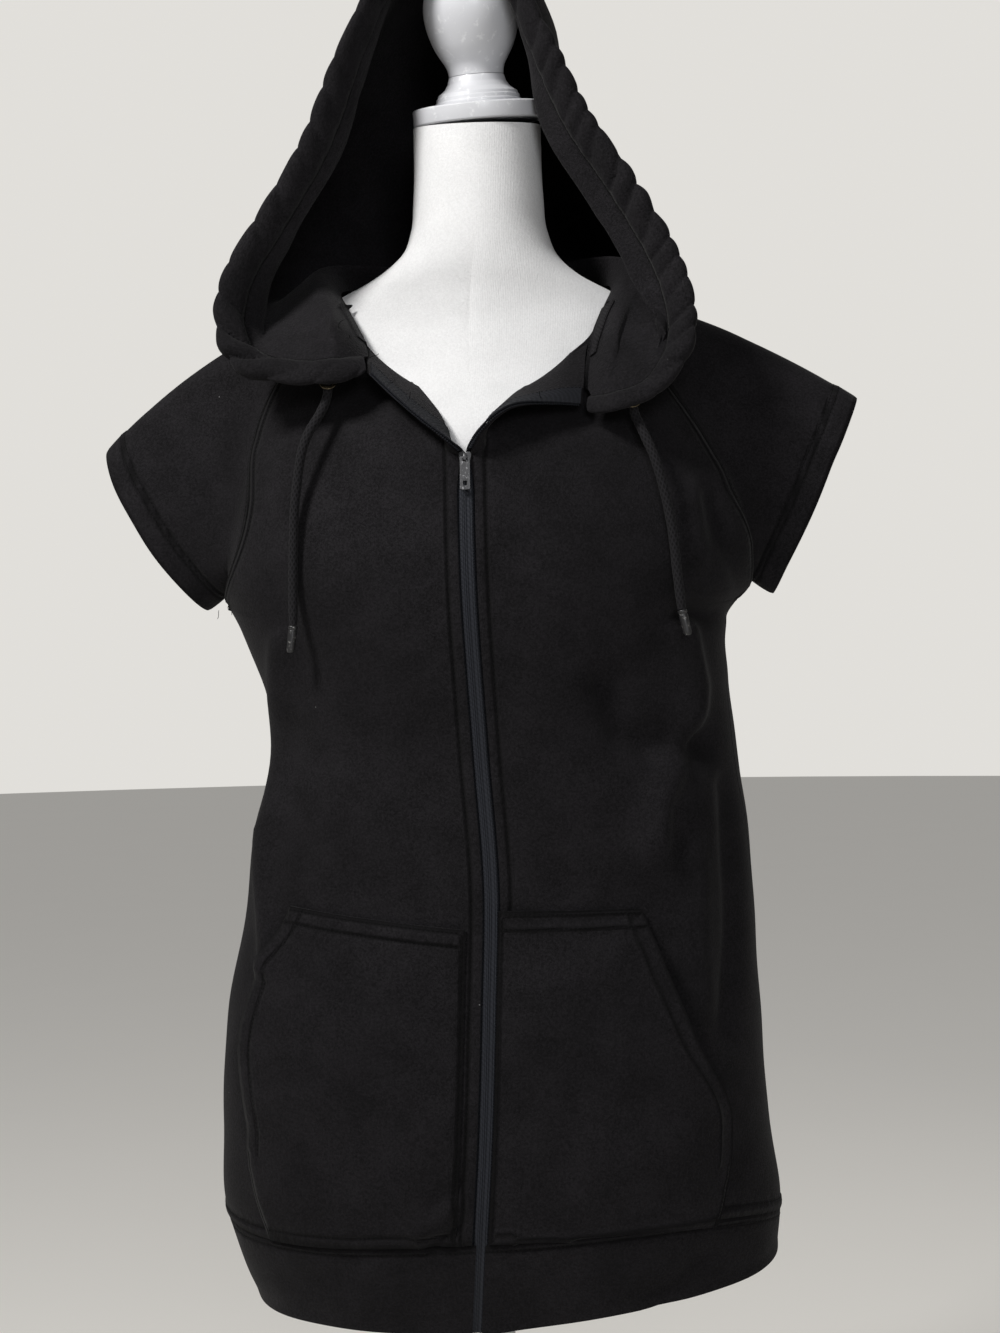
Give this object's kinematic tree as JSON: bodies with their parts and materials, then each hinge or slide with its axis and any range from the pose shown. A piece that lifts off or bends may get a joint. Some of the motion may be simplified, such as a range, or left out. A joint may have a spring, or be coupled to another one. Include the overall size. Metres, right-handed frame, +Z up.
{
  "type": "hooded fleece vest on a dress form",
  "caption": "Fleece hoodie vest with raglan cap sleeves, part-open zip, drawcords and split front pocket, worn hood up by a limbless dress form on a round stand.",
  "frame": {"origin": "centre of the round base's underside, on the floor", "axes": "+Z up along the stand's pole, -Y towards the front of the garment, +X towards the viewer's right"},
  "size_m": [0.5817, 0.34, 1.5037],
  "materials": {
    "fleece": "napped black knit",
    "zip_tape": "woven",
    "zip_coil": "satin",
    "slider_metal": "worn black enamel",
    "cord_braid": "braided",
    "aglet_metal": "satin",
    "eyelet_metal": "satin",
    "form_cloth": "stretched white jersey",
    "form_cap": "satin white paint",
    "form_stand": "satin white paint"
  },
  "bodies": {
    "garment_and_form": {"front_left": "fleece", "front_right": "fleece", "back": "fleece", "sleeve_left": "fleece", "sleeve_right": "fleece", "hood_left": "fleece", "hood_right": "fleece", "casing_left": "fleece", "casing_right": "fleece", "pocket_left": "fleece", "pocket_right": "fleece", "hem_band": "fleece", "zip_tape_left": "zip_tape", "zip_tape_right": "zip_tape", "zip_chain": "zip_coil", "zip_teeth_left": "zip_coil", "zip_teeth_right": "zip_coil", "zip_slider": "slider_metal", "drawcord_left": "cord_braid", "drawcord_right": "cord_braid", "aglet_left": "aglet_metal", "aglet_right": "aglet_metal", "eyelet_left": "eyelet_metal", "eyelet_right": "eyelet_metal", "form_torso": "form_cloth", "form_neck_cap": "form_cap", "form_finial": "form_cap", "form_pole": "form_stand", "form_base": "form_stand"},
    "tab": {"pull_tab": "slider_metal"}
  },
  "joints": [
    {"name": "pull_tab_hinge", "type": "hinge", "parent": "garment_and_form", "child": "tab", "pos_m": [-0.00638, -0.12408, 1.09755], "axis": [-1, 0, 0], "range_deg": [0, 100]}
  ]
}
